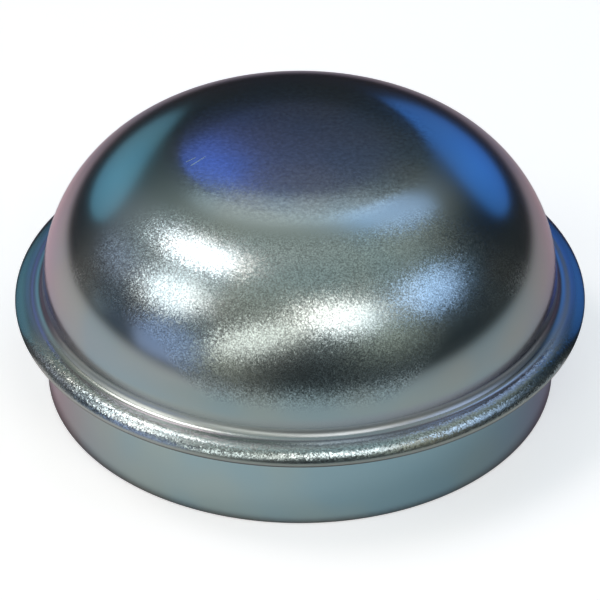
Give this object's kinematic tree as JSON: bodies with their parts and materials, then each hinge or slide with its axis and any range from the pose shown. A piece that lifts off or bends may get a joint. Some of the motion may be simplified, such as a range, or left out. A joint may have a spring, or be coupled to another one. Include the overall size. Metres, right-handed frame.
{
  "type": "hub grease cap",
  "caption": "Pressed sheet-steel cap with a domed crown, a folded stop flange and a short press-fit skirt, which closes a wheel hub's end and keeps its bearing grease in.",
  "frame": {"origin": "centre of the open rim, in the plane that the cap stands on", "axes": "+Z along the hub's axis, from the open rim towards the crown; X and Y are equal, as the cap is round"},
  "size_m": [0.0558, 0.0558, 0.0257],
  "materials": {
    "zinc_plate": "bright zinc plate with a thin clear-blue passivation, satin with a fine grain on the crown"
  },
  "bodies": {
    "root": {"grease_cap": "zinc_plate"}
  },
  "joints": []
}
